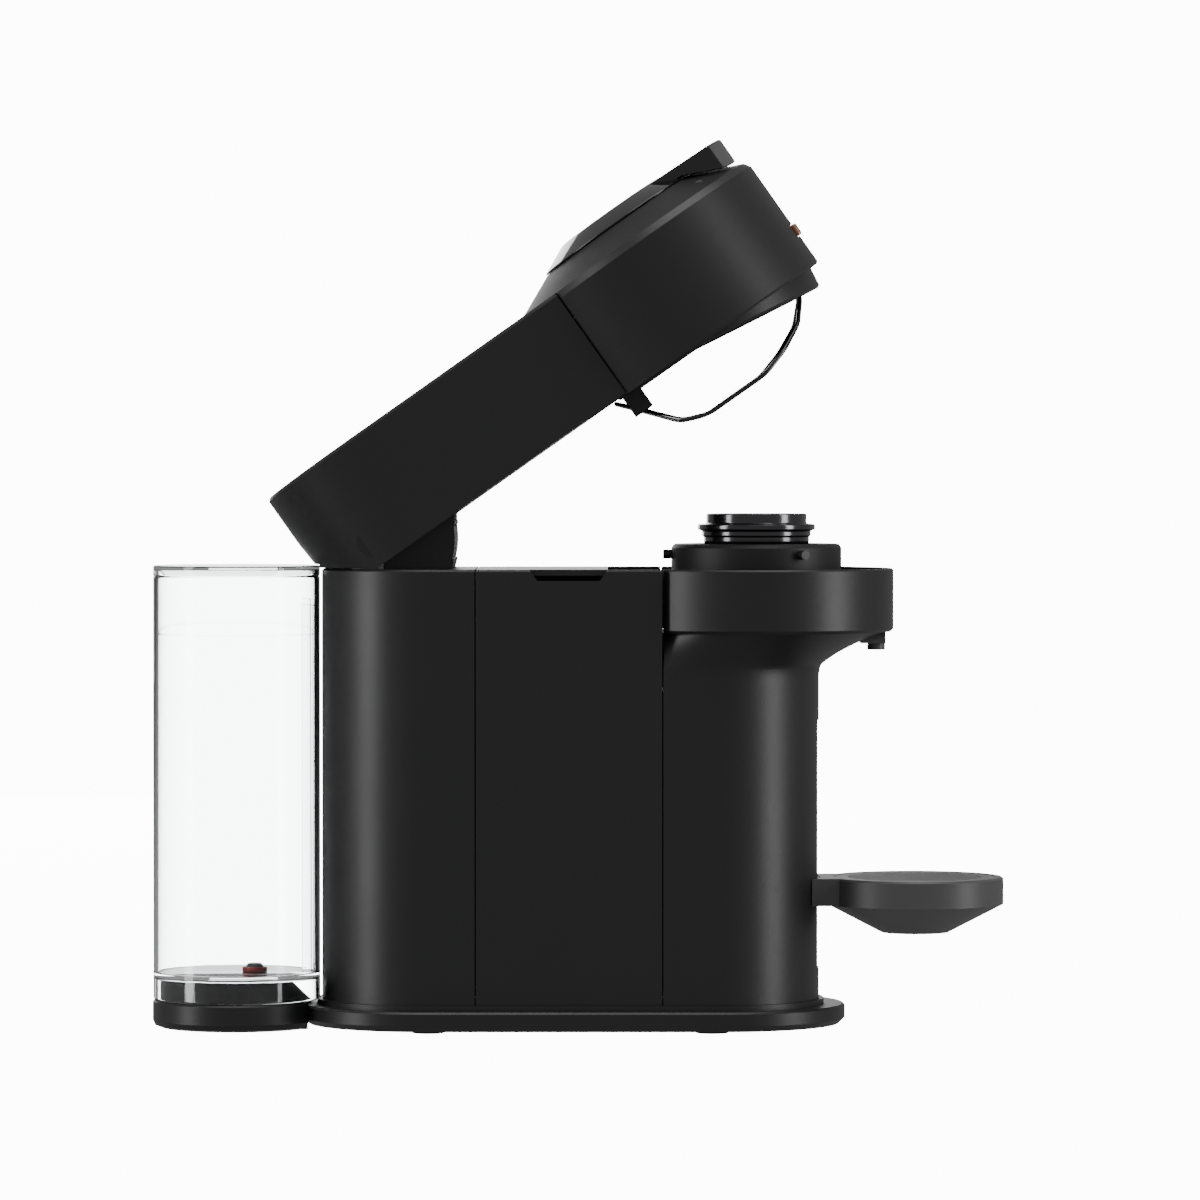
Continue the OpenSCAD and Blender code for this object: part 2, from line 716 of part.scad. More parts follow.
// The bayonet ring hangs from the disc by two legs and a hub, and turns with the lever.
module lock_ring() {
    low = head_z + 0.8;
    lug = pin_z + pin_r + 1;
    hub = hub_r - 6;
    top = head_top + shoulder_h + 0.4;
    color("#7c7c80") opened() translate([brew_x, 0, 0]) difference() {
        rotate_extrude() polygon([[lock_in, low], [lock_out, low], [lock_out, lock_plate_z + 3],
            [hub_r, lock_plate_z + 3], [hub_r, top], [hub, top], [hub, lock_plate_z],
            [lock_in, lock_plate_z], [lock_in, lug + 3], [lock_reach, lug + 3], [lock_reach, lug],
            [lock_in, lug]]);
        // between the legs, and between the lugs that turn over the collar's pins
        for (a = [90, -90]) rotate(a) rotate_extrude(angle = 140)
            translate([lock_in - 1, low + 13]) square([lock_out - lock_in + 2, lock_plate_z - low - 13]);
        for (a = pin_angles) rotate(a + lever_rest + 34) rotate_extrude(angle = 100)
            translate([lock_reach - 1, lug - 1]) square([lock_in - lock_reach + 1.4, 5]);
    }
}

module piercing_spindle() {
    low = body_top + collar_h + holder_top + 0.4;
    color("#c9ccd0") opened() translate([brew_x, 0, 0]) rotate_extrude()
        polygon([[0, low - 6], [2.5, low], [24, low], [24, plate_z - 0.5], [6, plate_z - 0.5],
                 [6, plate_z + bush_h + 0.4], [9, plate_z + bush_h + 0.4], [9, plate_z + bush_h + 2.5],
                 [0, plate_z + bush_h + 2.5]]);
}

module brew_carrier() {
    color("#1f1f1f") opened() translate([carrier_x, 0, carrier_z]) rotate([0, carrier_tilt, 0])
        translate([-carrier_x, 0, -carrier_z]) {
            translate([brew_x, 0, body_top + gap]) rotate(-122) rotate_extrude(angle = 244)
                polygon([[carrier_in, 0], [carrier_r - 1, 0], [carrier_r, 1],
                         [carrier_r, carrier_h], [carrier_in, carrier_h]]);
            for (side = [-1, 1]) translate([carrier_x, side * (carrier_r + 0.3), carrier_z])
                rotate([90, 0, 0]) cylinder(r = 2, h = 2.8, center = true);
        }
}

module cup_support() {
    low = cup_top - cup_band;
    color("#3d3d3d") difference() {
        union() {
            translate([cup_x, 0, 0]) rotate_extrude()
                polygon([[0, low - 14.5], [cup_low_r, low - 14.5], [cup_low_r + 1, low - 14],
                         [cup_r, low], [cup_r, cup_top - 1], [cup_r - 1, cup_top], [0, cup_top]]);
            translate([column_x - 12, -22, low]) cube([30, 44, cup_band]);
        }
        translate([front_x, 0, low - 1]) cylinder(r = body_r + gap, h = cup_band + 2);
        translate([cup_x, 0, cup_top - grille_h]) cylinder(r = cup_r - 4, h = grille_h + eps);
        translate([cup_x, 0, cup_top - 9]) cylinder(r = cup_r - 6.5, h = 9 + eps);
    }
}

module drip_insert() {
    color("#2e2e2e") difference() {
        translate([cup_x, 0, cup_top - grille_h]) cylinder(r = cup_r - 4.2, h = grille_h - 0.2);
        for (k = [-4 : 4]) {
            long = 2 * sqrt((cup_r - 11) ^ 2 - (k * 7) ^ 2);
            translate([cup_x - long / 2, k * 7 - 1.25, cup_top - 9]) cube([long, 2.5, 12]);
        }
    }
}

// Tongue and foot that guide the cup support in the column's slot.
module support_tongue() {
    low = cup_top - cup_band;
    color("#4c4c4c") intersection() {
        union() {
            translate([column_x - 6.5, -tongue_w / 2, low + 0.5])
                cube([7 + gap, tongue_w, cup_band - 1]);
            // the foot stays between the column's wall and the motor
            translate([column_x - 8.5, -14, low + 0.5]) cube([3, 28, cup_band - 1]);
        }
        translate([front_x, 0, 0]) cylinder(r = body_r + gap, h = cup_top);
    }
}

base_plate();
rubber_feet();
rear_cover();
far_side_wall();
front_column();
body_floor();
brew_ring();
funnel();
spout();
bayonet_collar();
collar_pins();
seat_bearing();
spin_motor();
hinge_drum();
hinge_cheeks();
hinge_pin();
hinge_springs();
tank_platform();
tank_boss();
mains_inlet();
water_pump();
pump_mounts();
water_heater();
flow_meter();
control_board();
container_panel();
container_bin();
tank_wall();
tank_valve();
tank_lid();
capsule_holder();
arm_shell();
head_drum();
head_shoulder();
head_plate();
ejector_hoop();
hoop_bracket();
water_hose();
brew_button();
top_disc();
lock_lever();
lock_ring();
piercing_spindle();
brew_carrier();
cup_support();
drip_insert();
support_tongue();
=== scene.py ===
"""Pod coffee machine with its brewing head swung open, laid out as an add-on.

The solids come from the frame. This file gives them their finishes and makes the lathed,
swept and repeated pieces that are seen up close. Lengths are in metres.
"""
import json
import math

import bmesh
import bpy
from mathutils import Matrix, Vector


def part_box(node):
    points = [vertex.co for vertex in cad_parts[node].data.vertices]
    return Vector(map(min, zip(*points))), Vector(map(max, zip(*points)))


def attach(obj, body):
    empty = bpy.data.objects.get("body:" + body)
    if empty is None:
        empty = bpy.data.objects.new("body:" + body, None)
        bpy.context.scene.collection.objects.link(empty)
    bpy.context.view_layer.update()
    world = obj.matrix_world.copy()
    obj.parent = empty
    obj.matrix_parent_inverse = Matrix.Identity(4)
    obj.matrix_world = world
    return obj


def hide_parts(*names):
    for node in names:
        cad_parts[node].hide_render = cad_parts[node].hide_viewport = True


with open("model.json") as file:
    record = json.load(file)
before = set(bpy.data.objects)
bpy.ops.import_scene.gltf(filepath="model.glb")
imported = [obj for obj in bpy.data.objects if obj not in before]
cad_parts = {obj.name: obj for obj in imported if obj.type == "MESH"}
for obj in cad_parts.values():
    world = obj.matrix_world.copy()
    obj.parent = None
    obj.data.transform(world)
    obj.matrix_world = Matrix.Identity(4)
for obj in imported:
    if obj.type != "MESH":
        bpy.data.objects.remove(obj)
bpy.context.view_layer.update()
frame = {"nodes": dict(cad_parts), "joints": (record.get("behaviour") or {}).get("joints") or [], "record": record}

bl_info = {
    "name": "Pod coffee machine",
    "version": (1, 0, 0),
    "blender": (4, 5, 0),
    "location": "View3D > Sidebar > Coffee",
    "description": "Finishes and details of a pod coffee machine with an open brewing head",
    "category": "Object",
}

MM = 0.001
ROUND = 128
# height of the shoulder's upper edge above the body's top, with the head closed
HEAD_TOP_UP = 73.9 * MM
# radius of the glossy disc, and how steeply the shoulder falls away from it
DISC_R = 45 * MM
SHOULDER_SLOPE = 10.8 / 23.6

JOINTS = {joint["name"]: joint for joint in frame["joints"]}


def box_of(node):
    """Lowest and highest corner of a solid, as vectors."""
    low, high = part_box(node)
    return Vector(low), Vector(high)


# ---------------------------------------------------------------- places worked out from the frame

HINGE = Vector(JOINTS["head_hinge"]["pos_m"])
OPEN_ANGLE = math.radians(JOINTS["head_hinge"]["range_deg"][1])
HOLDER_LOW, HOLDER_HIGH = box_of("capsule_holder")
BREW_X = (HOLDER_LOW.x + HOLDER_HIGH.x) / 2
RING_LOW, RING_HIGH = box_of("brew_ring")
BODY_TOP = RING_HIGH.z
TANK_LOW, TANK_HIGH = box_of("tank_wall")
TANK_X = (TANK_LOW.x + TANK_HIGH.x) / 2
TANK_R = (TANK_HIGH.y - TANK_LOW.y) / 2
LID_TOP = box_of("tank_lid")[1].z
COLUMN_LOW, COLUMN_HIGH = box_of("front_column")
BODY_R = (COLUMN_HIGH.y - COLUMN_LOW.y) / 2
FRONT_X = COLUMN_HIGH.x - BODY_R


def swung():
    """Turns what was made closed to where it stands with the head open."""
    turn = Matrix.Rotation(-OPEN_ANGLE, 4, "Y")
    return Matrix.Translation(HINGE) @ turn @ Matrix.Translation(-HINGE)


# ---------------------------------------------------------------- settings

class FinishSettings(bpy.types.PropertyGroup):
    """Colours and surfaces of the machine."""
    body_colour: bpy.props.FloatVectorProperty(
        name="Body colour", description="Colour of the moulded covers", subtype="COLOR",
        default=(0.0125, 0.0125, 0.013), size=3, min=0, max=1)
    body_roughness: bpy.props.FloatProperty(
        name="Body roughness", description="Roughness of the moulded covers", subtype="FACTOR",
        default=0.42, min=0, max=1)
    gloss_colour: bpy.props.FloatVectorProperty(
        name="Gloss colour", description="Colour of the disc and lever on the head", subtype="COLOR",
        default=(0.006, 0.006, 0.0065), size=3, min=0, max=1)
    grey_colour: bpy.props.FloatVectorProperty(
        name="Grey colour", description="Colour of the cup support", subtype="COLOR",
        default=(0.075, 0.075, 0.077), size=3, min=0, max=1)
    copper_colour: bpy.props.FloatVectorProperty(
        name="Copper colour", description="Colour of the brew button", subtype="COLOR",
        default=(0.72, 0.34, 0.22), size=3, min=0, max=1)
    clear_tint: bpy.props.FloatVectorProperty(
        name="Clear tint", description="Tint of the tank's clear plastic", subtype="COLOR",
        default=(0.965, 0.985, 0.99), size=3, min=0, max=1)


class DetailSettings(bpy.types.PropertyGroup):
    """Sizes of the small pieces."""
    rib_count: bpy.props.IntProperty(
        name="Hinge ribs", description="Ribs across the hinge drum's front", default=26, min=3, max=60)
    drain_count: bpy.props.IntProperty(
        name="Holder ridges", description="Ridges inside the capsule holder", default=24, min=6, max=48)


class StageSettings(bpy.types.PropertyGroup):
    """Camera and lights."""
    distance: bpy.props.FloatProperty(
        name="Camera distance", description="How far the camera stands from the machine",
        subtype="DISTANCE", unit="LENGTH", default=3.156, min=0.5, max=10)
    eye_height: bpy.props.FloatProperty(
        name="Eye height", description="Height of the camera", subtype="DISTANCE", unit="LENGTH",
        default=0.2834, min=0, max=2)
    aim_height: bpy.props.FloatProperty(
        name="Aim height", description="Height of the point that the camera looks at",
        subtype="DISTANCE", unit="LENGTH", default=0.2153, min=0, max=1)
    aim_x: bpy.props.FloatProperty(
        name="Aim x", description="Place along the machine that the camera looks at",
        subtype="DISTANCE", unit="LENGTH", default=0.0111, min=-1, max=1)
    lens: bpy.props.FloatProperty(
        name="Lens", description="Focal length of the camera, in millimetres", default=187.6,
        min=20, max=400)
    backdrop: bpy.props.FloatProperty(
        name="Backdrop", description="Brightness of the room behind the machine", default=13.0,
        min=0, max=40)
    room_light: bpy.props.FloatProperty(
        name="Room light", description="Brightness of the room as it lights the machine",
        default=0.3, min=0, max=10)
    strip_power: bpy.props.FloatProperty(
        name="Strip power", description="Power of each strip light, in watts", default=24.0,
        min=0, max=400)
    floor_glow: bpy.props.FloatProperty(
        name="Floor glow", description="Light that the floor gives off, like a lit table",
        default=12.5, min=0, max=40)


# ---------------------------------------------------------------- shared shader effects

def group_socket(tree, name, direction, kind, default=None):
    """Adds a named socket to a node group."""
    socket = tree.interface.new_socket(name=name, in_out=direction, socket_type=kind)
    if default is not None:
        socket.default_value = default
    return socket


def math_node(nodes, links, operation, first, second):
    """A math node fed by sockets or numbers, returning its output."""
    node = nodes.new("ShaderNodeMath")
    node.operation = operation
    for slot, value in enumerate((first, second)):
        if isinstance(value, (int, float)):
            node.inputs[slot].default_value = value
        else:
            links.new(value, node.inputs[slot])
    return node.outputs[0]


def grain_group():
    """Fine spark-eroded texture of a mould: a height and a slowly varying roughness."""
    tree = bpy.data.node_groups.get("moulded grain")
    if tree:
        return tree
    tree = bpy.data.node_groups.new("moulded grain", "ShaderNodeTree")
    group_socket(tree, "Scale", "INPUT", "NodeSocketFloat", 3200.0)
    group_socket(tree, "Roughness", "INPUT", "NodeSocketFloat", 0.4)
    group_socket(tree, "Variation", "INPUT", "NodeSocketFloat", 0.05)
    group_socket(tree, "Height", "OUTPUT", "NodeSocketFloat")
    group_socket(tree, "Surface", "OUTPUT", "NodeSocketFloat")
    nodes, links = tree.nodes, tree.links
    start = nodes.new("NodeGroupInput")
    end = nodes.new("NodeGroupOutput")
    place = nodes.new("ShaderNodeTexCoord")
    pits = nodes.new("ShaderNodeTexVoronoi")
    pits.inputs["Randomness"].default_value = 1.0
    fine = nodes.new("ShaderNodeTexNoise")
    fine.inputs["Detail"].default_value = 3.0
    broad = nodes.new("ShaderNodeTexNoise")
    broad.inputs["Scale"].default_value = 22.0
    broad.inputs["Detail"].default_value = 4.0
    for texture in (pits, fine, broad):
        links.new(place.outputs["Object"], texture.inputs["Vector"])
    links.new(start.outputs["Scale"], pits.inputs["Scale"])
    links.new(start.outputs["Scale"], fine.inputs["Scale"])
    height = math_node(nodes, links, "ADD", pits.outputs["Distance"], fine.outputs["Fac"])
    links.new(height, end.inputs["Height"])
    drift = math_node(nodes, links, "SUBTRACT", broad.outputs["Fac"], 0.5)
    drift = math_node(nodes, links, "MULTIPLY", drift, start.outputs["Variation"])
    speck = math_node(nodes, links, "SUBTRACT", fine.outputs["Fac"], 0.5)
    speck = math_node(nodes, links, "MULTIPLY", speck, start.outputs["Variation"])
    total = math_node(nodes, links, "ADD", start.outputs["Roughness"], drift)
    links.new(math_node(nodes, links, "ADD", total, speck), end.inputs["Surface"])
    return tree


def dust_group():
    """Dust that settles on what faces up, as a mask."""
    tree = bpy.data.node_groups.get("settled dust")
    if tree:
        return tree
    tree = bpy.data.node_groups.new("settled dust", "ShaderNodeTree")
    group_socket(tree, "Amount", "INPUT", "NodeSocketFloat", 0.04)
    group_socket(tree, "Mask", "OUTPUT", "NodeSocketFloat")
    nodes, links = tree.nodes, tree.links
    start = nodes.new("NodeGroupInput")
    end = nodes.new("NodeGroupOutput")
    shape = nodes.new("ShaderNodeNewGeometry")
    split = nodes.new("ShaderNodeSeparateXYZ")
    links.new(shape.outputs["Normal"], split.inputs[0])
    up = math_node(nodes, links, "MAXIMUM", split.outputs["Z"], 0.0)
    up = math_node(nodes, links, "POWER", up, 3.0)
    place = nodes.new("ShaderNodeTexCoord")
    flecks = nodes.new("ShaderNodeTexNoise")
    flecks.inputs["Scale"].default_value = 900.0
    flecks.inputs["Detail"].default_value = 5.0
    links.new(place.outputs["Object"], flecks.inputs["Vector"])
    mask = math_node(nodes, links, "MULTIPLY", up, flecks.outputs["Fac"])
    links.new(math_node(nodes, links, "MULTIPLY", mask, start.outputs["Amount"]), end.inputs["Mask"])
    return tree


def polish_group():
    """Faint wiping marks on glossy plastic and metal: roughness and a small height."""
    tree = bpy.data.node_groups.get("wiping marks")
    if tree:
        return tree
    tree = bpy.data.node_groups.new("wiping marks", "ShaderNodeTree")
    group_socket(tree, "Roughness", "INPUT", "NodeSocketFloat", 0.08)
    group_socket(tree, "Marks", "INPUT", "NodeSocketFloat", 0.04)
    group_socket(tree, "Stretch", "INPUT", "NodeSocketVector", (60.0, 60.0, 900.0))
    group_socket(tree, "Surface", "OUTPUT", "NodeSocketFloat")
    group_socket(tree, "Height", "OUTPUT", "NodeSocketFloat")
    nodes, links = tree.nodes, tree.links
    start = nodes.new("NodeGroupInput")
    end = nodes.new("NodeGroupOutput")
    place = nodes.new("ShaderNodeTexCoord")
    scale = nodes.new("ShaderNodeVectorMath")
    scale.operation = "MULTIPLY"
    links.new(place.outputs["Object"], scale.inputs[0])
    links.new(start.outputs["Stretch"], scale.inputs[1])
    lines = nodes.new("ShaderNodeTexNoise")
    lines.inputs["Scale"].default_value = 1.0
    lines.inputs["Detail"].default_value = 4.0
    links.new(scale.outputs[0], lines.inputs["Vector"])
    centred = math_node(nodes, links, "SUBTRACT", lines.outputs["Fac"], 0.5)
    marks = math_node(nodes, links, "MULTIPLY", centred, start.outputs["Marks"])
    links.new(math_node(nodes, links, "ADD", marks, start.outputs["Roughness"]), end.inputs["Surface"])
    links.new(lines.outputs["Fac"], end.inputs["Height"])
    return tree


# ---------------------------------------------------------------- materials

def new_material(name):
    """A material with only its Principled shader and output."""
    material = bpy.data.materials.get(name)
    if material:
        return material, None
    material = bpy.data.materials.new(name)
    material.use_nodes = True
    return material, material.node_tree.nodes["Principled BSDF"]


def add_group(material, tree, **values):
    """Places a shared effect in a material and sets its values."""
    node = material.node_tree.nodes.new("ShaderNodeGroup")
    node.node_tree = tree
    for key, value in values.items():
        node.inputs[key].default_value = value
    return node


def add_bump(material, shader, height, strength, distance):
    """Feeds a height into the shader's normal."""
    bump = material.node_tree.nodes.new("ShaderNodeBump")
    bump.inputs["Strength"].default_value = strength
    bump.inputs["Distance"].default_value = distance
    material.node_tree.links.new(height, bump.inputs["Height"])
    material.node_tree.links.new(bump.outputs["Normal"], shader.inputs["Normal"])


def dusty_colour(material, shader, colour, amount, dust=(0.35, 0.34, 0.32)):
    """Base colour with a little dust on what faces up."""
    nodes, links = material.node_tree.nodes, material.node_tree.links
    mask = add_group(material, dust_group(), Amount=amount)
    mix = nodes.new("ShaderNodeMix")
    mix.data_type = "RGBA"
    mix.inputs["A"].default_value = (*colour, 1)
    mix.inputs["B"].default_value = (*dust, 1)
    links.new(mask.outputs["Mask"], mix.inputs["Factor"])
    links.new(mix.outputs["Result"], shader.inputs["Base Color"])


def moulded(name, colour, roughness, grain=3200.0, strength=0.25, specular=0.5, dust=0.01):
    """Moulded plastic or rubber with a fine grain."""
    material, shader = new_material(name)
    if shader is None:
        return material
    links = material.node_tree.links
    shader.inputs["Specular IOR Level"].default_value = specular
    texture = add_group(material, grain_group(), Scale=grain, Roughness=roughness, Variation=0.08)
    links.new(texture.outputs["Surface"], shader.inputs["Roughness"])
    add_bump(material, shader, texture.outputs["Height"], strength, 0.00004)
    dusty_colour(material, shader, colour, dust)
    return material


def polished(name, colour, roughness, metal=0.0, marks=0.05, stretch=(60, 60, 900), coat=0.0):
    """Glossy plastic or metal with faint wiping marks."""
    material, shader = new_material(name)
    if shader is None:
        return material
    links = material.node_tree.links
    shader.inputs["Metallic"].default_value = metal
    shader.inputs["Coat Weight"].default_value = coat
    shader.inputs["Coat Roughness"].default_value = 0.04
    texture = add_group(material, polish_group(), Roughness=roughness, Marks=marks, Stretch=stretch)
    links.new(texture.outputs["Surface"], shader.inputs["Roughness"])
    add_bump(material, shader, texture.outputs["Height"], 0.03, 0.00002)
    dusty_colour(material, shader, colour, 0.004)
    return material


def clear_plastic(name, tint, roughness=0.02):
    """Clear plastic, thin enough to see straight through."""
    material, shader = new_material(name)
    if shader is None:
        return material
    links = material.node_tree.links
    shader.inputs["Metallic"].default_value = 0.0
    shader.inputs["Transmission Weight"].default_value = 1.0
    shader.inputs["IOR"].default_value = 1.46
    shader.inputs["Base Color"].default_value = (*tint, 1)
    texture = add_group(material, polish_group(), Roughness=roughness, Marks=0.02)
    links.new(texture.outputs["Surface"], shader.inputs["Roughness"])
    return material


def finish(name):
    """The material of one of the machine's finishes, made once."""
    colours = bpy.context.scene.coffee_finish
    body, rough = tuple(colours.body_colour), colours.body_roughness
    grey = tuple(colours.grey_colour)
    makers = {
        "matte_black": lambda: moulded("moulded black", body, rough),
        "soft_black": lambda: moulded("soft black", body, rough + 0.08, 2600.0, 0.35, 0.4),
        "gloss_black": lambda: polished("gloss black", tuple(colours.gloss_colour), 0.06, coat=0.6),
        "dark_grey": lambda: moulded("dark grey", grey, 0.45, 2800.0, 0.3),
        "rubber": lambda: moulded("foot rubber", (0.015, 0.015, 0.015), 0.75, 1800.0, 0.5, 0.3),
        "clear": lambda: clear_plastic("clear tank plastic", tuple(colours.clear_tint)),
        "red_seal": lambda: moulded("red seal", (0.42, 0.012, 0.01), 0.4, 2000.0, 0.2),
        "holder_metal": lambda: polished("dark holder metal", (0.09, 0.09, 0.095), 0.16, 0.9, 0.08),
        "steel": lambda: polished("turned steel", (0.5, 0.5, 0.51), 0.28, 1.0, 0.15),
        "copper": lambda: polished("rose gold", tuple(colours.copper_colour), 0.24, 1.0, 0.1),
        "pump_white": lambda: moulded("pump plastic", (0.55, 0.53, 0.48), 0.5),
        "board_green": lambda: moulded("board lacquer", (0.02, 0.11, 0.045), 0.35, 900.0),
        "hose": lambda: moulded("silicone hose", (0.4, 0.4, 0.4), 0.5, 1500.0),
    }
    return makers[name]()


def dress(node, material):
    """Gives a solid from the frame its finish."""
    slots = frame["nodes"][node].material_slots
    for slot in slots:
        slot.link = "OBJECT"
        slot.material = material


# ---------------------------------------------------------------- mesh making

def add_piece(name, mesh, material, body, place=None, smooth=35.0):
    """Links a finished mesh, turns it to its place and lets it ride on a body."""
    if place is not None:
        mesh.transform(place)
    obj = bpy.data.objects.new(name, mesh)
    bpy.context.scene.collection.objects.link(obj)
    mesh.materials.clear()
    mesh.materials.append(material)
    mesh.shade_smooth()
    mesh.set_sharp_from_angle(angle=math.radians(smooth))
    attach(obj, body)
    return obj


def mesh_from(name, verts, faces):
    """A mesh with merged doubles and outward normals."""
    mesh = bpy.data.meshes.new(name)
    mesh.from_pydata(verts, [], faces)
    work = bmesh.new()
    work.from_mesh(mesh)
    bmesh.ops.remove_doubles(work, verts=work.verts, dist=1e-6)
    bmesh.ops.recalc_face_normals(work, faces=work.faces)
    work.to_mesh(mesh)
    work.free()
    return mesh


def lathe(name, profile, centre_x, start=0.0, sweep=360.0, segments=ROUND):
    """A closed profile of (radius, height) turned round an upright axis."""
    whole = abs(sweep - 360.0) < 1e-6
    steps = segments if whole else max(4, int(segments * sweep / 360.0))
    columns = steps if whole else steps + 1
    verts = []
    for k in range(columns):
        angle = math.radians(start + sweep * k / steps)
        for radius, height in profile:
            verts.append((centre_x + radius * math.cos(angle), radius * math.sin(angle), height))
    count = len(profile)
    faces = []
    for k in range(steps):
        near, far = k * count, ((k + 1) % columns) * count
        for i in range(count):
            j = (i + 1) % count
            faces.append((near + i, far + i, far + j, near + j))
    if not whole:
        faces.append(tuple(range(count)))
        faces.append(tuple(range((columns - 1) * count, columns * count)))
    mesh = mesh_from(name, verts, faces)
    work = bmesh.new()
    work.from_mesh(mesh)
    bmesh.ops.dissolve_degenerate(work, edges=work.edges, dist=1e-7)
    bmesh.ops.recalc_face_normals(work, faces=work.faces)
    work.to_mesh(mesh)
    work.free()
    return mesh


def rounded(points, radius, steps=5, flat=()):
    """A closed profile with its corners rounded, except those whose places are in flat."""
    out = []
    count = len(points)
    for i, point in enumerate(points):
        here = Vector(point)
        before, after = Vector(points[i - 1]), Vector(points[(i + 1) % count])
        into, away = before - here, after - here
        reach = min(radius, 0.45 * into.length, 0.45 * away.length)
        if i in flat or reach < 1e-6:
            out.append(tuple(here))
            continue
        first, last = here + into.normalized() * reach, here + away.normalized() * reach
        for k in range(steps + 1):
            t = k / steps
            curve = first * (1 - t) ** 2 + here * (2 * t * (1 - t)) + last * t ** 2
            out.append(tuple(curve))
    return out


def loft(name, loops, close_ends=True):
    """Joins loops of equally many points into one closed skin."""
    count = len(loops[0])
    verts = [point for loop in loops for point in loop]
    faces = []
    for row in range(len(loops) - 1):
        for i in range(count):
            j = (i + 1) % count
            base = row * count
            faces.append((base + i, base + j, base + count + j, base + count + i))
    if close_ends:
        faces.append(tuple(range(count)))
        faces.append(tuple(range((len(loops) - 1) * count, len(loops) * count)))
    return mesh_from(name, verts, faces)


def bevel(obj, width, segments=3, angle=40.0):
    """Rounds an object's sharp edges."""
    modifier = obj.modifiers.new("rounded edges", "BEVEL")
    modifier.width = width
    modifier.segments = segments
    modifier.limit_method = "ANGLE"
    modifier.angle_limit = math.radians(angle)
    modifier.harden_normals = True


# ---------------------------------------------------------------- repeated pieces

def repeat_tree(name, on_circle):
    """Small blocks repeated along a line, or round a circle and facing out from it."""
    tree = bpy.data.node_groups.get(name)
    if tree:
        return tree
    tree = bpy.data.node_groups.new(name, "GeometryNodeTree")
    face = tree.interface
    face.new_socket(name="Count", in_out="INPUT", socket_type="NodeSocketInt")
    face.new_socket(name="Reach", in_out="INPUT", socket_type="NodeSocketFloat")
    face.new_socket(name="Size", in_out="INPUT", socket_type="NodeSocketVector")
    face.new_socket(name="Material", in_out="INPUT", socket_type="NodeSocketMaterial")
    face.new_socket(name="Geometry", in_out="OUTPUT", socket_type="NodeSocketGeometry")
    nodes, links = tree.nodes, tree.links
    start, end = nodes.new("NodeGroupInput"), nodes.new("NodeGroupOutput")
    block = nodes.new("GeometryNodeMeshCube")
    links.new(start.outputs["Size"], block.inputs["Size"])
    scatter = nodes.new("GeometryNodeInstanceOnPoints")
    links.new(block.outputs["Mesh"], scatter.inputs["Instance"])
    if on_circle:
        points = nodes.new("GeometryNodeMeshCircle")
        links.new(start.outputs["Count"], points.inputs["Vertices"])
        links.new(start.outputs["Reach"], points.inputs["Radius"])
        links.new(points.outputs["Mesh"], scatter.inputs["Points"])
        place = nodes.new("GeometryNodeInputPosition")
        align = nodes.new("FunctionNodeAlignRotationToVector")
        align.axis = "X"
        align.pivot_axis = "Z"
        links.new(place.outputs["Position"], align.inputs["Vector"])
        links.new(align.outputs["Rotation"], scatter.inputs["Rotation"])
    else:
        points = nodes.new("GeometryNodeMeshLine")
        points.mode = "END_POINTS"
        links.new(start.outputs["Count"], points.inputs["Count"])
        low, high = nodes.new("ShaderNodeCombineXYZ"), nodes.new("ShaderNodeCombineXYZ")
        flip = nodes.new("ShaderNodeMath")
        flip.operation = "MULTIPLY"
        flip.inputs[1].default_value = -1.0
        links.new(start.outputs["Reach"], flip.inputs[0])
        links.new(flip.outputs[0], low.inputs["X"])
        links.new(start.outputs["Reach"], high.inputs["X"])
        links.new(low.outputs[0], points.inputs["Start Location"])
        links.new(high.outputs[0], points.inputs["Offset"])
        links.new(points.outputs["Mesh"], scatter.inputs["Points"])
    real = nodes.new("GeometryNodeRealizeInstances")
    paint = nodes.new("GeometryNodeSetMaterial")
    links.new(scatter.outputs["Instances"], real.inputs["Geometry"])
    links.new(real.outputs["Geometry"], paint.inputs["Geometry"])
    links.new(start.outputs["Material"], paint.inputs["Material"])
    links.new(paint.outputs["Geometry"], end.inputs["Geometry"])
    return tree


def repeated(name, on_circle, count, reach, size, material, place):
    """The finished mesh of a repeated piece, turned to its place."""
    tree = repeat_tree("blocks round a circle" if on_circle else "blocks in a row", on_circle)
    holder = bpy.data.objects.new(name + " maker", bpy.data.meshes.new(name + " maker"))
    bpy.context.scene.collection.objects.link(holder)
    modifier = holder.modifiers.new("repeat", "NODES")
    modifier.node_group = tree
    values = {"Count": count, "Reach": reach, "Size": size, "Material": material}
    for item in tree.interface.items_tree:
        if item.in_out == "INPUT":
            modifier[item.identifier] = values[item.name]
    bpy.context.view_layer.update()
    graph = bpy.context.evaluated_depsgraph_get()
    mesh = bpy.data.meshes.new_from_object(holder.evaluated_get(graph))
    holder.modifiers.remove(modifier)
    bpy.data.objects.remove(holder)
    mesh.name = name
    mesh.transform(place)
    return mesh


# ---------------------------------------------------------------- operators

class COFFEE_OT_covers(bpy.types.Operator):
    """Give every solid of the frame its finish"""
    bl_idname = "coffee.covers"
    bl_label = "Finish the solids"

    def execute(self, context):
        for row in frame["record"]["subparts"]:
            dress(row["node"], finish(row["material_slot"]))
        return {"FINISHED"}


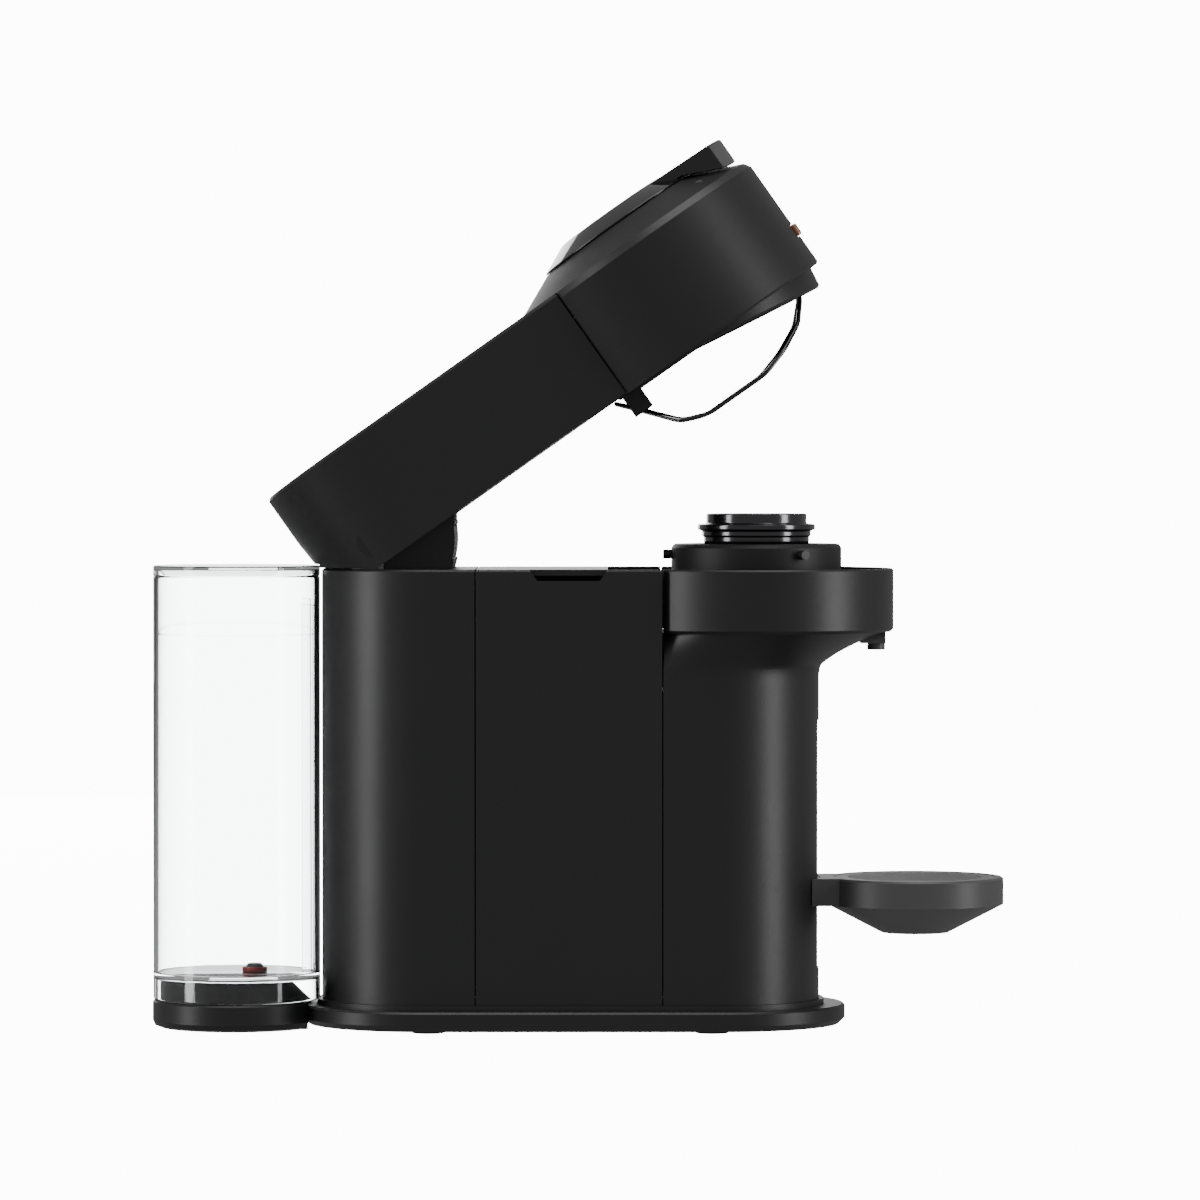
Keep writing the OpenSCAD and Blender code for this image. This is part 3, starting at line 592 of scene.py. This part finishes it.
class COFFEE_OT_shoulder(bpy.types.Operator):
    """Make the flowing shoulder between the column and the ring"""
    bl_idname = "coffee.shoulder"
    bl_label = "Shoulder"

    def execute(self, context):
        low, high = box_of("funnel")
        ring_r = high.x - BREW_X
        loops = []
        steps = 28
        for k in range(steps + 1):
            t = k / steps
            height = low.z + (high.z - low.z) * t
            # slow at the column, steady further up: a concave fillet that ends under the ring
            spread = t ** 2.4 * 0.62 + max(0.0, t - 0.3) * 0.38 / 0.7
            loop = []
            for i in range(ROUND):
                angle = 2 * math.pi * i / ROUND
                along, across = math.cos(angle), math.sin(angle)
                # the column: round in front, straight sides back to the seam
                if along >= 0:
                    bottom = Vector((FRONT_X + BODY_R * along, BODY_R * across))
                else:
                    straight = max(abs(along), abs(across))
                    bottom = Vector((FRONT_X + (FRONT_X - low.x) * along / straight,
                                     BODY_R * across / straight))
                    bottom.x = max(low.x, bottom.x)
                top = Vector((max(low.x, BREW_X + ring_r * along), ring_r * across))
                here = bottom.lerp(top, spread)
                loop.append((here.x, here.y, height))
            loops.append(loop)
        mesh = loft("shoulder", loops)
        obj = add_piece("brew_shoulder", mesh, finish("matte_black"), "base")
        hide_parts("funnel")
        return {"FINISHED"}


class COFFEE_OT_tank(bpy.types.Operator):
    """Make the clear tank, its lid and the valve on its floor"""
    bl_idname = "coffee.tank"
    bl_label = "Water tank"

    def execute(self, context):
        wall, floor = 2.2 * MM, TANK_LOW.z + 11.4 * MM
        rim = TANK_HIGH.z
        profile = [(0, floor), (TANK_R - wall, floor), (TANK_R - wall, TANK_LOW.z),
                   (TANK_R, TANK_LOW.z), (TANK_R, rim), (TANK_R - wall, rim),
                   (TANK_R - wall, floor + 2 * MM), (0, floor + 2 * MM)]
        shell = lathe("tank shell", rounded(profile, 0.9 * MM, 4, (0, 7)), TANK_X)
        tank = add_piece("tank_shell", shell, finish("clear"), "tank")
        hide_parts("tank_wall")
        line = LID_TOP - 35 * MM
        ring = [(TANK_R - wall - 0.5 * MM, line), (TANK_R - wall - 0.02 * MM, line),
                (TANK_R - wall - 0.02 * MM, line + 0.7 * MM), (TANK_R - wall - 0.5 * MM, line + 0.7 * MM)]
        add_piece("tank_fill_line", lathe("fill line", ring, TANK_X), finish("clear"), "tank")
        for side in (-1, 1):
            loops = []
            for x in (TANK_X + TANK_R - 9 * MM, TANK_X + TANK_R - 3.4 * MM):
                y = side * 12 * MM
                loops.append([(x, y - MM, floor + 2.1 * MM), (x, y + MM, floor + 2.1 * MM),
                              (x, y + MM, LID_TOP - 20 * MM), (x, y - MM, LID_TOP - 20 * MM)])
            rib = add_piece(f"tank_rib_{'near' if side < 0 else 'far'}", loft("tank rib", loops),
                            finish("clear"), "tank")
            bevel(rib, 0.4 * MM)
        low = box_of("tank_lid")[0].z + 2 * MM
        top = LID_TOP
        profile = [(0, top - 2 * MM), (TANK_R - wall - 0.4 * MM, top - 2 * MM),
                   (TANK_R - wall - 0.4 * MM, low), (TANK_R, low), (TANK_R, top), (0, top)]
        mesh = lathe("tank cover", rounded(profile, 0.8 * MM, 4, (0, 5)), TANK_X)
        cover = add_piece("tank_cover", mesh, finish("clear"), "lid")
        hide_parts("tank_lid")
        valve_low, valve_high = box_of("tank_valve")
        centre = (valve_low.x + valve_high.x) / 2
        base = valve_low.z
        inner, outer, top = 4.4 * MM, 6.3 * MM, base + 2.4 * MM
        seal = [(inner, base), (outer, base), (outer, top), (inner, top)]
        knob = [(0, base), (4.3 * MM, base), (4.3 * MM, base + 3.2 * MM), (3.3 * MM, valve_high.z),
                (0, valve_high.z)]
        ring = add_piece("valve_seal", lathe("valve seal", rounded(seal, 0.7 * MM), centre),
                         finish("red_seal"), "tank")
        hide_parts("tank_valve")
        add_piece("valve_knob", lathe("valve knob", rounded(knob, 0.5 * MM, 3, (0, 4)), centre),
                  finish("dark_grey"), "tank")
        return {"FINISHED"}


class COFFEE_OT_holder(bpy.types.Operator):
    """Make the turning capsule holder with its bright rings and inner ridges"""
    bl_idname = "coffee.holder"
    bl_label = "Capsule holder"

    def execute(self, context):
        details = context.scene.coffee_details
        top = HOLDER_HIGH.z
        seat = 21.0 * MM
        base = RING_LOW.z
        profile = [
            (seat, top), (25.3 * MM, top), (25.3 * MM, top - 5.0 * MM), (29.6 * MM, top - 5.4 * MM),
            (29.6 * MM, top - 8.2 * MM), (27.4 * MM, top - 8.6 * MM), (27.4 * MM, top - 11.2 * MM),
            (26.6 * MM, top - 11.6 * MM), (26.6 * MM, top - 14.4 * MM), (23.2 * MM, top - 20 * MM),
            (23.2 * MM, base + 6 * MM), (8.0 * MM, base + 2 * MM), (8.0 * MM, HOLDER_LOW.z),
            (0, HOLDER_LOW.z), (0, base + 8 * MM), (15.0 * MM, base + 8 * MM), (seat, base + 16 * MM)]
        mesh = lathe("holder", rounded(profile, 0.7 * MM, 4, (13, 14)), BREW_X)
        cup = add_piece("capsule_cup", mesh, finish("holder_metal"), "holder")
        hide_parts("capsule_holder")
        place = Matrix.Translation((BREW_X, 0, top - 12 * MM))
        ridges = repeated("holder ridges", True, details.drain_count, seat + 0.1 * MM,
                          (1.2 * MM, 1.4 * MM, 16 * MM), finish("holder_metal"), place)
        add_piece("holder_ridges", ridges, finish("holder_metal"), "holder")
        return {"FINISHED"}


class COFFEE_OT_head(bpy.types.Operator):
    """Make the head's glossy disc, its lever, the brew button and the start mark"""
    bl_idname = "coffee.head"
    bl_label = "Brewing head"

    def execute(self, context):
        # the shoulder's upper edge with the head closed
        top = BODY_TOP + HEAD_TOP_UP
        crown_r, rise = 30 * MM, 8.1 * MM
        place = swung()
        profile = [(0, top + 0.4 * MM), (DISC_R, top + 0.4 * MM), (DISC_R, top + 1.1 * MM),
                   (crown_r, top + rise), (0, top + rise + 0.2 * MM)]
        disc = add_piece("head_disc", lathe("disc", rounded(profile, 1.1 * MM, 6, (0, 4)), BREW_X),
                         finish("gloss_black"), "lever", place)
        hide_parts("top_disc")
        self.lever(context, top + 0.4 * MM, place)
        self.button(place)
        return {"FINISHED"}

    def lever(self, context, base, place):
        """The wedge that turns the disc: glossy top, grey end."""
        reach, half = 66.3 * MM, 12.6 * MM
        rest = math.radians(-JOINTS["lever_turn"]["range_deg"][1] / 2)
        turn = place @ Matrix.Translation((BREW_X, 0, 0)) @ Matrix.Rotation(rest, 4, "Z")
        loops = []
        steps = 14
        for k in range(steps + 1):
            y = -half + 2 * half * k / steps
            end = math.sqrt(reach ** 2 - y ** 2)
            low_end = base + 1.0 * MM - SHOULDER_SLOPE * (end - DISC_R)
            loops.append([(29 * MM, y, base + 7.2 * MM), (29 * MM, y, base + 0.9 * MM),
                          (DISC_R, y, base + 0.9 * MM), (end, y, low_end),
                          (end, y, base + 5.4 * MM), (end - 0.8 * MM, y, base + 5.9 * MM)])
        mesh = loft("lever", loops)
        lever = add_piece("lever_wedge", mesh, finish("gloss_black"), "lever", turn)
        bevel(lever, 0.6 * MM, 3, 50)
        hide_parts("lock_lever")
        grey = finish("dark_grey")
        verts, faces = [], []
        for k in range(steps + 1):
            y = (-half + 0.9 * MM) + 2 * (half - 0.9 * MM) * k / steps
            end = math.sqrt(reach ** 2 - y ** 2)
            low_end = base + 2.0 * MM - SHOULDER_SLOPE * (end - DISC_R)
            for x in (end - 0.3 * MM, end + 0.16 * MM):
                verts += [(x, y, low_end), (x, y, base + 4.8 * MM)]
        for k in range(steps):
            a, b = 4 * k, 4 * (k + 1)
            faces += [(a + 2, b + 2, b + 3, a + 3), (a, a + 1, b + 1, b),
                      (a + 1, a + 3, b + 3, b + 1), (a, b, b + 2, a + 2)]
        faces += [(0, 2, 3, 1), (4 * steps, 4 * steps + 1, 4 * steps + 3, 4 * steps + 2)]
        add_piece("lever_end", mesh_from("lever end", verts, faces), grey, "lever", turn)
        self.mark(place, base)

    def mark(self, place, base):
        """A plain raised dot on the shoulder that shows where the brewing starts."""
        radius, angle = 58.8 * MM, math.radians(-42)
        dot = lathe("start dot", rounded([(0, 0), (1.7 * MM, 0), (1.7 * MM, 0.35 * MM), (0, 0.35 * MM)],
                                         0.15 * MM, 3, (0, 3)), 0)
        lean = Matrix.Rotation(math.atan(SHOULDER_SLOPE), 4, "Y")
        height = base - 0.45 * MM - (radius - DISC_R) * SHOULDER_SLOPE
        spot = (Matrix.Translation((BREW_X, 0, 0)) @ Matrix.Rotation(angle, 4, "Z")
                @ Matrix.Translation((radius, 0, height)) @ lean)
        add_piece("start_dot", dot, finish("dark_grey"), "head", place @ spot)

    def button(self, place):
        """A pill-shaped button let into the front of the head."""
        z = BODY_TOP + 17.5 * MM
        height, out, inner = 6.4 * MM, 72.8 * MM, 66.2 * MM
        corners = [(inner, z), (out, z), (out, z + height), (inner, z + height)]
        outline = rounded(corners, 1.2 * MM, 5, (0, 3))
        mesh = lathe("button", outline, BREW_X, -11.9, 23.8, 240)
        button = add_piece("start_button", mesh, finish("copper"), "button", place)
        bevel(button, 0.7 * MM, 3, 60)
        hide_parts("brew_button")


class COFFEE_OT_hoop(bpy.types.Operator):
    """Make the wire hoop that lifts the used capsule out"""
    bl_idname = "coffee.hoop"
    bl_label = "Ejector hoop"

    def execute(self, context):
        path = [(54.3, 2.4), (52.6, 8.6), (43.3, 18.7), (30, 25.2), (15.6, 29.6), (-18.9, 29.6),
                (-31.5, 24.6), (-45, 8.6), (-53.6, -1.2)]
        near = [Vector((BREW_X + x * MM, -math.sqrt(54.5 ** 2 - x ** 2) * MM, BODY_TOP - down * MM))
                for x, down in path]
        far = [Vector((p.x, -p.y, p.z)) for p in reversed(near)]
        route = near + far
        count, radius, sides = len(route), 1.15 * MM, 12
        smooth = []
        for i, point in enumerate(route):
            before, after = route[i - 1], route[(i + 1) % count]
            reach = min(4 * MM, 0.4 * (before - point).length, 0.4 * (after - point).length)
            first = point + (before - point).normalized() * reach
            last = point + (after - point).normalized() * reach
            for k in range(5):
                t = k / 4
                smooth.append(first * (1 - t) ** 2 + point * (2 * t * (1 - t)) + last * t ** 2)
        hub = Vector((BREW_X, 0, BODY_TOP + 40 * MM))
        total = len(smooth)
        verts, faces = [], []
        for i, point in enumerate(smooth):
            along = (smooth[(i + 1) % total] - smooth[i - 1]).normalized()
            side = along.cross((point - hub).normalized()).normalized()
            up = side.cross(along)
            for k in range(sides):
                angle = 2 * math.pi * k / sides
                verts.append(point + radius * (math.cos(angle) * side + math.sin(angle) * up))
        for i in range(total):
            for k in range(sides):
                a, b = i * sides, ((i + 1) % total) * sides
                m = (k + 1) % sides
                faces.append((a + k, a + m, b + m, b + k))
        mesh = mesh_from("hoop", [tuple(v) for v in verts], faces)
        hoop = add_piece("wire_hoop", mesh, finish("gloss_black"), "head", swung(), 60)
        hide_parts("ejector_hoop")
        return {"FINISHED"}


class COFFEE_OT_small_parts(bpy.types.Operator):
    """Make the ribs across the hinge drum's front"""
    bl_idname = "coffee.small_parts"
    bl_label = "Hinge ribs"

    def execute(self, context):
        details = context.scene.coffee_details
        low, high = box_of("hinge_drum")
        half = (high.y - low.y) / 2
        middle = Matrix.Translation((high.x - 1.3 * MM, 0, (low.z + high.z) / 2 - 5 * MM))
        across = Matrix.Rotation(math.pi / 2, 4, "Z")
        ribs = repeated("hinge ribs", False, details.rib_count, half - 3 * MM,
                        (0.9 * MM, 1.4 * MM, 14 * MM), finish("soft_black"), middle @ across)
        add_piece("hinge_ribs", ribs, finish("soft_black"), "base")
        return {"FINISHED"}


class COFFEE_OT_stage(bpy.types.Operator):
    """Set up the floor, the lights and the camera"""
    bl_idname = "coffee.stage"
    bl_label = "Stage"

    def execute(self, context):
        settings = context.scene.coffee_stage
        self.floor(context, settings)
        self.lights(context, settings)
        self.camera(context, settings)
        return {"FINISHED"}

    def floor(self, context, settings):
        mesh = bpy.data.meshes.new("floor")
        reach = 14.0
        mesh.from_pydata([(-reach, -reach, -0.0004), (reach, -reach, -0.0004), (reach, reach, -0.0004),
                          (-reach, reach, -0.0004)], [], [(0, 1, 2, 3)])
        floor = bpy.data.objects.new("floor", mesh)
        context.scene.collection.objects.link(floor)
        material, shader = new_material("pale floor")
        shader.inputs["Base Color"].default_value = (0.9, 0.9, 0.9, 1)
        shader.inputs["Roughness"].default_value = 0.7
        shader.inputs["Specular IOR Level"].default_value = 0.1
        shader.inputs["Emission Color"].default_value = (1, 1, 1, 1)
        shader.inputs["Emission Strength"].default_value = settings.floor_glow
        mesh.materials.append(material)
        # seen, but it doesn't light the machine from below
        floor.visible_diffuse = False
        floor.visible_glossy = False
        floor.visible_transmission = False

    def room(self, context, settings):
        """Bright where the camera sees it directly or through clear plastic, dimmer as a light."""
        world = bpy.data.worlds.new("pale room")
        world.use_nodes = True
        nodes, links = world.node_tree.nodes, world.node_tree.links
        seen = nodes["Background"]
        seen.inputs["Color"].default_value = (1, 1, 1, 1)
        seen.inputs["Strength"].default_value = settings.backdrop
        lit = nodes.new("ShaderNodeBackground")
        lit.inputs["Color"].default_value = (1, 1, 1, 1)
        lit.inputs["Strength"].default_value = settings.room_light
        ray = nodes.new("ShaderNodeLightPath")
        either = nodes.new("ShaderNodeMath")
        either.operation = "MAXIMUM"
        links.new(ray.outputs["Is Camera Ray"], either.inputs[0])
        links.new(ray.outputs["Is Transmission Ray"], either.inputs[1])
        # light that has bounced off the machine sees only the dimmer room
        bounces = math_node(nodes, links, "ADD", ray.outputs["Diffuse Depth"], ray.outputs["Glossy Depth"])
        straight = math_node(nodes, links, "LESS_THAN", bounces, 0.5)
        bright = math_node(nodes, links, "MULTIPLY", either.outputs[0], straight)
        mix = nodes.new("ShaderNodeMixShader")
        links.new(bright, mix.inputs["Fac"])
        links.new(lit.outputs[0], mix.inputs[1])
        links.new(seen.outputs[0], mix.inputs[2])
        links.new(mix.outputs[0], nodes["World Output"].inputs["Surface"])
        context.scene.world = world

    def lights(self, context, settings):
        self.room(context, settings)
        power = settings.strip_power
        for name, where, width, height, energy in (
                ("left strip", (-1.9, -0.75, 0.5), 0.5, 1.8, power),
                ("right strip", (1.9, -0.75, 0.5), 0.5, 1.8, power),
                ("rear strip", (-0.4, 2.1, 0.7), 1.2, 1.2, power * 0.6),
                ("top panel", (0.0, -0.3, 2.2), 1.6, 1.2, power * 0.9)):
            light = bpy.data.lights.new(name, "AREA")
            light.shape = "RECTANGLE"
            light.size, light.size_y = width, height
            light.energy = energy
            obj = bpy.data.objects.new(name, light)
            obj.location = where
            aim = Vector((0, 0, 0.22)) - Vector(where)
            obj.rotation_euler = aim.to_track_quat("-Z", "Y").to_euler()
            context.scene.collection.objects.link(obj)

    def camera(self, context, settings):
        camera = bpy.data.cameras.new("camera")
        camera.lens = settings.lens
        camera.sensor_width = 36.0
        camera.clip_end = 50.0
        obj = bpy.data.objects.new("camera", camera)
        obj.location = (settings.aim_x, -settings.distance, settings.eye_height)
        aim = Vector((settings.aim_x, 0, settings.aim_height)) - obj.location
        obj.rotation_euler = aim.to_track_quat("-Z", "Y").to_euler()
        context.scene.collection.objects.link(obj)
        context.scene.camera = obj


class COFFEE_PT_panel(bpy.types.Panel):
    """Settings and steps of the coffee machine"""
    bl_idname = "COFFEE_PT_panel"
    bl_label = "Pod coffee machine"
    bl_space_type = "VIEW_3D"
    bl_region_type = "UI"
    bl_category = "Coffee"

    def draw(self, context):
        for group in ("coffee_finish", "coffee_details", "coffee_stage"):
            settings = getattr(context.scene, group)
            part = self.layout.box()
            for key in settings.bl_rna.properties.keys():
                if key not in ("rna_type", "name"):
                    part.prop(settings, key)
        for step in STEPS:
            self.layout.operator(step.bl_idname)


STEPS = (COFFEE_OT_covers, COFFEE_OT_shoulder, COFFEE_OT_tank, COFFEE_OT_holder, COFFEE_OT_head,
         COFFEE_OT_hoop, COFFEE_OT_small_parts, COFFEE_OT_stage)
GROUPS = {"coffee_finish": FinishSettings, "coffee_details": DetailSettings,
          "coffee_stage": StageSettings}


def register():
    for cls in (*GROUPS.values(), *STEPS, COFFEE_PT_panel):
        bpy.utils.register_class(cls)
    for name, cls in GROUPS.items():
        setattr(bpy.types.Scene, name, bpy.props.PointerProperty(type=cls))


def unregister():
    for name in GROUPS:
        delattr(bpy.types.Scene, name)
    for cls in reversed((*GROUPS.values(), *STEPS, COFFEE_PT_panel)):
        bpy.utils.unregister_class(cls)


def main():
    """Makes everything in order."""
    register()
    for step in STEPS:
        category, name = step.bl_idname.split(".")
        getattr(getattr(bpy.ops, category), name)()
    bpy.context.view_layer.update()


if __name__ == "__main__":
    main()
